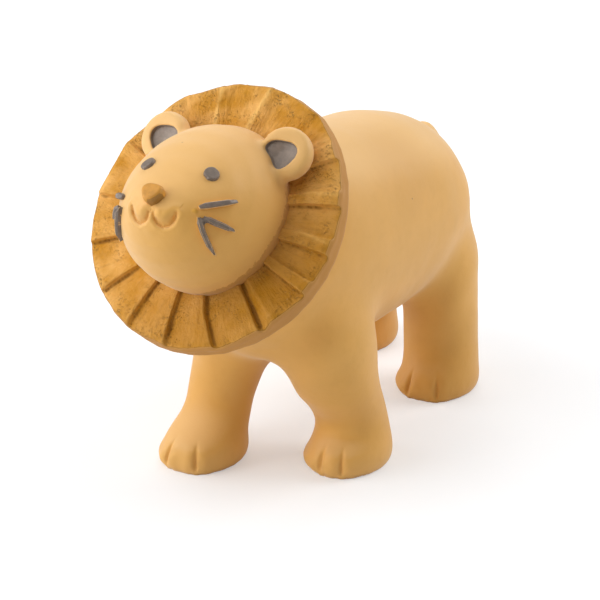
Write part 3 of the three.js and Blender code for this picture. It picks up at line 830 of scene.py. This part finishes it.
def head_material(latex, mane, face):
    """Latex, with grey in the ears' hollows, mane paint straying onto its foot, and painted light and shade
    on its sides
    """
    finish = Finish("head_latex")
    place = finish.place()
    wander = finish.noise(place, 1.1 * MM, 3, 0.6)
    foot = finish.field("paint")
    strayed = (foot + (wander - 0.5) * 2.2).between(0.46, 0.54) * foot.between(0.02, 0.15)
    grey = (finish.field("grey") + (wander - 0.5) * 0.25).between(0.46, 0.54)
    x = finish.axes(head_place(finish, place))["X"]
    # A weaker painted highlight on top than on the body, a painted highlight on the head's right side (-X)
    # and painted shade on its left side (+X). The ears are paler.
    bare = latex_colour(finish, place, latex, 0.35)
    bare = finish.mix((1 - x.between(-10 * MM, 5 * MM)) * 0.45, bare, latex.pale)
    bare = finish.mix(x.between(2 * MM, 10 * MM) * 0.2, bare, latex.deep)
    bare = finish.mix(finish.field("ear") * 0.45, bare, latex.pale)
    paint, _ = mane_colour(finish, place, mane)
    colour = finish.mix(strayed, bare, finish.mix(0.4, paint, mane.dark_ochre))
    colour = finish.mix(grey, colour, lining_colour(finish, place, face))
    colour = finish.mix(finish.field("drop"), colour, face.drop)
    return latex_surface(finish, place, colour)


def clouded(finish, place, size, colour, darkest, lightest):
    """A colour that wanders between two shades of itself"""
    cloud = finish.noise(place, size, 3, 0.6)
    return finish.mix(cloud.between(0.3, 0.7), shade(colour, darkest), shade(colour, lightest))


def grey_colour(finish, place, face, light=0.85):
    return clouded(finish, place, 1.2 * MM, face.grey, 0.94 * light, 1.22 * light)


def lining_colour(finish, place, face):
    """The grey in the ears' hollows is lighter than on the eyes and whiskers"""
    return grey_colour(finish, place, face, 1.15)


def feature_material(name, latex, face, paint_colour, roughness):
    """Paint on the front of a raised feature, whose walls are bare latex"""
    finish = Finish(name)
    place = finish.place()
    wander = finish.noise(place, 0.6 * MM, 3, 0.6)
    painted = (finish.field("paint") + (wander - 0.5) * 0.4).between(0.42, 0.54)
    # The bare walls take the pale latex as a painted highlight
    bare = shade(latex.pale, 0.95)
    colour = finish.mix(painted, bare, paint_colour(finish, place, face))
    relief = finish.bump(wander, 0.06 * MM, 0.8)
    rough = finish.noise(place, 0.9 * MM, 2) * 0.15 + roughness
    return finish.surface(base_color=colour, roughness=rough, normal=relief, specular_ior_level=0.5)


def nose_colour(finish, place, face):
    """Ochre, with painted shade on the underside of the nose"""
    wander = finish.noise(place, 1.6 * MM, 3, 0.6)
    under = (finish.field("under") + (wander - 0.5) * 0.9).between(0.3, 0.75)
    colour = clouded(finish, place, 1.6 * MM, face.nose, 1.04, 1.28)
    return finish.mix(under * 0.7, colour, shade(face.nose, 0.5))


def floor_material():
    """White. For the camera a part of its light is a glow of its own, which grows to white far off."""
    finish = Finish("white_floor")
    seen = finish.node("ShaderNodeLightPath")["Is Camera Ray"]
    white = finish.mix(seen, FLOOR_WHITE, FLOOR_SEEN)
    diffuse = finish.node("ShaderNodeBsdfDiffuse", None, {"Color": white})["BSDF"]
    away = finish.vector("LENGTH", finish.place())["Value"]
    tone = finish.mix(away.between(FADE_START, FADE_END), FLOOR_GLOW, WHITE)
    glow = finish.node("ShaderNodeEmission", None, {"Color": tone, "Strength": seen})["Emission"]
    return finish.ending(finish.node("ShaderNodeAddShader", None, {0: diffuse, 1: glow})["Shader"])


# Pieces

def shape_toes(mesh, depth):
    """Presses the clefts into each paw and rounds the toes between them"""
    places = points(mesh)
    push = np.zeros(len(places))
    for name, clefts in CLEFTS.items():
        x, y, z = ((places - np.array(SOLES[name])) / MM).T
        reach = np.hypot(x, y)
        turn = np.degrees(np.arctan2(x, -y))
        toes = (reach < PAW_REACH) * ramp(-y, 1.0, 4.0)
        near = toes * (1 - ramp(z, 3.5, 8.5))
        low = toes * (1 - ramp(z, 0.6, 3.0))
        for cleft in clefts:
            aside = reach * np.radians(turn - cleft)
            push -= near * ramp(z, 0.3, 2.2) * bell(aside, CLEFT_WIDTH)
            push += 0.3 * near * bell(np.abs(aside) - CROWN_ASIDE, CROWN_WIDTH)
            push += 0.6 * low * bell(aside, CLEFT_FOOT_WIDTH)
    lift(mesh, push * depth)


def swell_paws(mesh, most):
    """Bulges the outer toes of the paws to their right"""
    places = points(mesh)
    for name in BULGED_PAWS:
        x, y, z = ((places - np.array(SOLES[name])) / MM).T
        share = ramp(-x, 0, 6) * (np.hypot(x, y) < PAW_REACH) * bell(z - BULGE_HEIGHT, BULGE_WIDTH)
        places[:, 0] -= share * most
        places[:, 1] -= share * most * 0.45
    put_points(mesh, places)


def line_distance(x, z, route):
    """Distance from a line on the face, and how far below it, in millimetres"""
    nearest = np.full(len(x), 1e9)
    below = np.zeros(len(x))
    for (x0, z0), (x1, z1) in zip(route, route[1:]):
        along_x, along_z = x1 - x0, z1 - z0
        length = math.hypot(along_x, along_z)
        part = np.clip(((x - x0) * along_x + (z - z0) * along_z) / length ** 2, 0, 1)
        away = np.hypot(x - x0 - part * along_x, z - z0 - part * along_z)
        side = ((x - x0) * along_z - (z - z0) * along_x) / length
        below = np.where(away < nearest, side, below)
        nearest = np.minimum(away, nearest)
    return nearest, below


def shape_mouth(mesh, depth):
    """Presses the lips' grooves and the line above them into the snout"""
    local = in_head(points(mesh))
    x, z = local[:, 0] - FACE_CENTRE, local[:, 2] - MOUTH_UP
    front = ramp(-local[:, 1], 18, 21)
    push = np.zeros(len(x))
    for side in (-1, 1):
        away, below = line_distance(x * side, z, LIP)
        outer = below > 0
        push -= bell(away, np.where(outer, GROOVE_WIDTH_BELOW, GROOVE_WIDTH_ABOVE))
        push += 0.3 * outer * bell(away - EDGE_BELOW, EDGE_WIDTH)
        push += 0.35 * ~outer * bell(away - SWELLING_ABOVE, SWELLING_WIDTH)
    away, _ = line_distance(x, z, MOUTH_LINE)
    push -= 0.5 * bell(away, LINE_WIDTH)
    lift(mesh, push * front * depth)


def shape_drop(mesh):
    """Raises the drop of paint, and keeps where it lies"""
    local = in_head(points(mesh))
    behind_face = -local[:, 1] < 15
    away = np.hypot(local[:, 0] - DROP[0], local[:, 2] - DROP[1]) + 9 * behind_face
    lift(mesh, DROP_HEIGHT * bell(away, DROP_WIDTH))
    keep_field(mesh, "drop", 1 - ramp(away, 0.3, 0.8))


def flatten_soles(mesh):
    """Presses the paws flat where they stand"""
    places = points(mesh)
    places[:, 2] = np.where(places[:, 2] < 0.15 * MM, 0, places[:, 2])
    put_points(mesh, places)


def ridge_wear_and_highlight(mesh):
    """How worn the paint is along the mane's bright ridges, where a highlight is also painted"""
    local = in_head(points(mesh))
    radius = np.hypot(local[:, 0], local[:, 2])
    turn = np.degrees(np.arctan2(local[:, 0], local[:, 2])) % 360
    outward = ramp(radius, 20, 32)
    wear_and_highlight = np.zeros(len(turn))
    for inner, rim, share in WORN_AND_LIT_RIDGES:
        aside = (turn - inner - (rim - inner) * outward + 180) % 360 - 180
        away = np.radians(aside) * radius
        wear_and_highlight = np.maximum(wear_and_highlight, share * bell(away, RIDGE_WIDTH))
    return wear_and_highlight * ramp(-local[:, 1], -1.6, -1.0)


def ease_top_pleats(mesh, share):
    """Makes the pleats at the top of the mane lie flatter than those round its sides"""
    local = in_head(points(mesh))
    rise = -local[:, 1]
    turn = np.degrees(np.arctan2(local[:, 0], local[:, 2]))
    top = (1 - ramp(np.abs(turn - 4), 28, 44)) * ramp(rise, -1.4, -0.9)
    forward = -np.array(HEAD_FRAME.to_3x3())[:, 1]
    put_points(mesh, points(mesh) - np.outer((rise + 0.1) * top * share * MM, forward))


class LION_OT_casting(bpy.types.Operator):
    """Make the latex skin of the torso, legs and tail"""

    bl_idname = "lion.casting"
    bl_label = "Body casting"

    def execute(self, context):
        latex = context.scene.lion_latex
        nodes = ("torso", *LEGS, "tail")
        piece = cast_skin("casting_skin", nodes, latex.body_cell, latex.seam_fill)
        mesh = piece.data
        draw_in(piece, latex.seam_fill)
        height = points(mesh)[:, 2] / MM
        near_leg = near_joint(mesh, ("torso",), LEGS, latex.leg_blend)
        near_tail = near_joint(mesh, ("torso",), ("tail",), latex.tail_blend)
        on_tail = 1 - ramp(distances(mesh, search_tree(("tail",))), 0.5 * MM, 2.5 * MM)
        # The skin is held firmly at the soles and on the tail, and least where legs and tail join it
        hold = 1 + 10 * (1 - ramp(height, 3, 10)) + 120 * (1 - ramp(height, 0.5, 1.6)) + 20 * on_tail
        hold *= (1 - near_leg) ** 2 + 0.01
        hold *= (1 - near_tail) ** 2 + 0.05
        fair(mesh, hold, latex.body_fairness)
        refine(mesh, points(mesh)[:, 2] < PAW_HEIGHT * MM, 2)
        swell_paws(mesh, latex.toe_bulge)
        shape_toes(mesh, latex.toe_depth)
        flatten_soles(mesh)
        keep_shape_fields(mesh, 6)
        finish_piece(piece, nodes, latex_material(latex))
        return {"FINISHED"}


class LION_OT_head(bpy.types.Operator):
    """Make the skin of the head and ears"""

    bl_idname = "lion.head"
    bl_label = "Head and ears"

    def execute(self, context):
        latex, mane, face = context.scene.lion_latex, context.scene.lion_mane, context.scene.lion_face
        nodes = ("head", *EARS)
        piece = cast_skin("head_skin", nodes, latex.head_cell, latex.seam_fill)
        mesh = piece.data
        draw_in(piece, latex.seam_fill)
        self.smooth(mesh, latex)
        x, y, z = in_head(points(mesh)).T
        middle = (np.abs(x) < SNOUT_HALF_WIDTH) & (y < SNOUT_BACK)
        refine(mesh, middle & (z < SNOUT_TOP) & (z > SNOUT_FOOT), 2)
        shape_mouth(mesh, latex.mouth_depth)
        keep_shape_fields(mesh)
        self.keep_paint(mesh)
        shape_drop(mesh)
        finish_piece(piece, nodes, head_material(latex, mane, face))
        return {"FINISHED"}

    def smooth(self, mesh, latex):
        """Fairs the head, but holds the ears' own shape and the head's foot"""
        away = distances(mesh, search_tree(EARS))
        hold = 1 + 15 * (1 - ramp(away, 0.4 * MM, 1.2 * MM))
        hold += 200 * (1 - ramp(-in_head(points(mesh))[:, 1], -1.6, -1.0))
        hold *= (1 - near_joint(mesh, ("head",), EARS, latex.ear_blend)) ** 2 + 0.02
        fair(mesh, hold, latex.head_fairness)

    def keep_paint(self, mesh):
        """Keeps where the ears are, where mane paint strayed, and where the ears' grey lies"""
        x, y, z = in_head(points(mesh)).T
        away = distances(mesh, search_tree(EARS))
        keep_field(mesh, "ear", 1 - ramp(away, 0.5 * MM, 2.5 * MM))
        strayed = 1.8 * ramp(x - z, 16, 28)
        keep_field(mesh, "paint", (1 - ramp(-y - strayed, 0.6, 3.2)) * ramp(away, 0.5 * MM, 2 * MM))
        inner = distances(mesh, search_tree(EAR_LININGS))
        keep_field(mesh, "grey", spread(mesh, 1 - ramp(inner, 0.7 * MM, 1.1 * MM), 2))


class LION_OT_mane(bpy.types.Operator):
    """Make the mane: its plate, its pleats and their paint"""

    bl_idname = "lion.mane"
    bl_label = "Mane"

    def execute(self, context):
        latex, mane = context.scene.lion_latex, context.scene.lion_mane
        nodes = ("mane_disc", "mane_pleats")
        head = search_tree(("head",))
        piece = cast_skin("mane_skin", nodes, mane.cell, latex.seam_fill, head, MANE_GAP, mane.root)
        draw_in(piece, latex.seam_fill)
        mesh = piece.data
        fair(mesh, np.ones(len(mesh.vertices)), mane.fairness)
        ease_top_pleats(mesh, mane.ease)
        wobble(mesh, LUMP_SIZE, mane.wobble)
        wear_and_highlight = ridge_wear_and_highlight(mesh)
        lift(mesh, wear_and_highlight * RIDGE_RISE)
        keep_field(mesh, "wear_and_highlight", wear_and_highlight)
        self.keep_paint(mesh)
        keep_shape_fields(mesh, 5)
        finish_piece(piece, nodes, mane_material(latex, mane))
        return {"FINISHED"}

    def keep_paint(self, mesh):
        """Keeps the face as painted, the rim as stained, and the back as bare"""
        local, facing = in_head(points(mesh)), head_turned(normals(mesh))
        radius = np.hypot(local[:, 0], local[:, 2])
        outward = (facing[:, 0] * local[:, 0] + facing[:, 2] * local[:, 2]) / np.maximum(radius, 1)
        rim = ramp(outward, 0.45, 0.8) * ramp(radius, 26, 29)
        behind = ramp(facing[:, 1], -0.1, 0.2) * ramp(local[:, 1], 0.8, 1.8)
        keep_field(mesh, "paint", spread(mesh, 1 - np.maximum(rim, behind), 2))
        keep_field(mesh, "stain", spread(mesh, rim, 4))


class LION_OT_features(bpy.types.Operator):
    """Make the raised, painted features: eyes, whiskers, nose, ear linings and tail tuft"""

    bl_idname = "lion.features"
    bl_label = "Painted features"

    def execute(self, context):
        latex, face, mane = context.scene.lion_latex, context.scene.lion_face, context.scene.lion_mane
        skin = search_tree(("head",))
        grey = feature_material("grey_paint", latex, face, grey_colour, 0.36)
        lining = feature_material("lining_paint", latex, face, lining_colour, 0.36)
        nose = feature_material("nose_paint", latex, face, nose_colour, 0.5)
        for side, least in (("left", 0.25), ("right", -0.3)):
            self.raised((f"{side}_eye",), skin, face, grey, "grey_paint", -0.3)
            self.raised((f"{side}_upper_whisker",), skin, face, grey, "grey_paint", least)
            fork = (f"{side}_middle_whisker", f"{side}_lower_whisker")
            self.raised(fork, skin, face, grey, "grey_paint", least, FORK_FILL)
            self.lining(f"{side}_ear_inner", face, lining)
        self.raised(("nose",), skin, face, nose, "nose_paint", -0.5)
        self.tuft(latex, mane)
        return {"FINISHED"}

    def raised(self, nodes, skin, face, material, slot, least, fill=0.0):
        """A feature whose root is set in the skin. least is how squarely paint must face out."""
        piece = cast_skin(f"{nodes[0]}_painted", nodes, face.cell, fill, skin, FEATURE_GAP, face.root)
        draw_in(piece, fill)
        relax(piece, 18 if "nose" in nodes else 5)
        mesh = piece.data
        outward = np.array([skin.find_nearest(vertex.co)[1] for vertex in mesh.vertices])
        facing = np.sum(normals(mesh) * outward, axis=1)
        paint = ramp(facing, least, least + 0.4)
        if len(nodes) > 1:
            both = [distances(mesh, search_tree((node,))) for node in nodes]
            paint = np.maximum(paint, 1 - ramp(np.maximum(*both), 0.6 * MM, 1.2 * MM))
        keep_field(mesh, "paint", spread(mesh, paint, 2))
        # The side that faces down and to the left, where the nose's material paints shade
        keep_field(mesh, "under", ramp(head_turned(normals(mesh)) @ UNDER, 0.45, 0.9))
        finish_piece(piece, nodes, material)

    def lining(self, node, face, material):
        """Paint over the floor of an ear's hollow, a little dished"""
        piece = cast_skin(f"{node}_painted", (node,), face.cell, LINING_FILL)
        mesh = piece.data
        places = points(mesh)
        out = places - places.mean(axis=0)
        axis = np.linalg.svd(out, full_matrices=False)[2][2]
        axis *= -np.sign(head_turned(axis)[1])
        height = out @ axis
        across = np.linalg.norm(out - np.outer(height, axis), axis=1)
        sink = (LINING_SINK + face.dish * (1 - ramp(across / across.max(), 0.1, 0.9))) * (height > 0)
        put_points(mesh, places - np.outer(sink, axis))
        relax(piece, 6)
        keep_field(piece.data, "paint", np.ones(len(piece.data.vertices)))
        finish_piece(piece, (node,), material)

    def tuft(self, latex, mane):
        piece = cast_skin("tail_tuft_painted", ("tail_tuft",), TUFT_CELL, TUFT_FILL)
        relax(piece, 6)
        mesh = piece.data
        keep_field(mesh, "paint", np.ones(len(mesh.vertices)))
        keep_shape_fields(mesh)
        finish_piece(piece, ("tail_tuft",), mane_material(latex, mane))


class LION_OT_stage(bpy.types.Operator):
    """Make the white floor, the soft lamps and the camera"""

    bl_idname = "lion.stage"
    bl_label = "Stage"

    def execute(self, context):
        settings = context.scene.lion_stage
        self.floor()
        self.world(context.scene, settings)
        for name, (power, place) in LAMPS.items():
            self.lamp(name, power * settings.power, Vector(place))
        self.camera(context.scene, settings)
        return {"FINISHED"}

    def floor(self):
        grid = bmesh.new()
        bmesh.ops.create_grid(grid, x_segments=2, y_segments=2, size=FLOOR_REACH)
        mesh = bpy.data.meshes.new("floor")
        grid.to_mesh(mesh)
        grid.free()
        piece = add_object("floor", mesh)
        mesh.materials.append(floor_material())

    def world(self, scene, settings):
        """White as the camera sees it, and a soft light from all round for everything else"""
        world = bpy.data.worlds.new("white")
        world.use_nodes = True
        tree = world.node_tree
        tree.nodes.clear()
        kinds = ("LightPath", "Background", "Background", "MixShader", "OutputWorld")
        path, light, seen, choice, out = (tree.nodes.new(f"ShaderNode{kind}") for kind in kinds)
        light.inputs["Strength"].default_value = settings.ambient
        tree.links.new(path.outputs["Is Camera Ray"], choice.inputs[0])
        tree.links.new(light.outputs[0], choice.inputs[1])
        tree.links.new(seen.outputs[0], choice.inputs[2])
        tree.links.new(choice.outputs[0], out.inputs["Surface"])
        for shader in (light, seen):
            shader.inputs["Color"].default_value = opaque(WHITE)
        scene.world = world

    def lamp(self, name, power, place):
        data = bpy.data.lights.new(name, "AREA")
        data.energy = power
        data.size = LAMP_SIZE
        lamp = add_object(name, data)
        lamp.location = place
        lamp.rotation_euler = (MIDDLE - place).to_track_quat("-Z", "Y").to_euler()

    def camera(self, scene, settings):
        azimuth, elevation = math.radians(settings.azimuth), math.radians(settings.elevation)
        level = math.cos(elevation)
        back = Vector((math.sin(azimuth) * level, -math.cos(azimuth) * level, math.sin(elevation)))
        data = bpy.data.cameras.new("camera")
        data.lens = settings.lens
        data.sensor_width = SENSOR_WIDTH
        data.clip_start = CLIP_START
        data.clip_end = CLIP_END
        camera = add_object("camera", data)
        camera.location = FRONT_LEFT + TARGET_FROM_SOLE + back * settings.distance
        camera.rotation_euler = back.to_track_quat("Z", "Y").to_euler()
        scene.camera = camera
        scene.view_settings.view_transform = "Standard"


class LION_PT_panel(bpy.types.Panel):
    """Lists the lion's settings and the steps that make it"""

    bl_idname = "LION_PT_panel"
    bl_label = "Rubber Lion"
    bl_space_type = "VIEW_3D"
    bl_region_type = "UI"
    bl_category = "Rubber Lion"

    def draw(self, context):
        scene = context.scene
        for step, settings in STEPS:
            box = self.layout.box()
            box.operator(step)
            for name in getattr(scene, settings).__annotations__:
                box.prop(getattr(scene, settings), name)


STEPS = (
    ("lion.casting", "lion_latex"),
    ("lion.head", "lion_latex"),
    ("lion.mane", "lion_mane"),
    ("lion.features", "lion_face"),
    ("lion.stage", "lion_stage"),
)
SETTINGS = {
    "lion_latex": LatexSettings,
    "lion_mane": ManeSettings,
    "lion_face": FaceSettings,
    "lion_stage": StageSettings,
}
CLASSES = (
    *SETTINGS.values(),
    LION_OT_casting,
    LION_OT_head,
    LION_OT_mane,
    LION_OT_features,
    LION_OT_stage,
    LION_PT_panel,
)


def register():
    for each in CLASSES:
        bpy.utils.register_class(each)
    for name, group in SETTINGS.items():
        setattr(bpy.types.Scene, name, PointerProperty(type=group))


def unregister():
    for name in SETTINGS:
        delattr(bpy.types.Scene, name)
    for each in reversed(CLASSES):
        bpy.utils.unregister_class(each)


def main():
    register()
    for step, _ in STEPS:
        group, name = step.split(".")
        getattr(getattr(bpy.ops, group), name)()


if __name__ == "__main__":
    main()
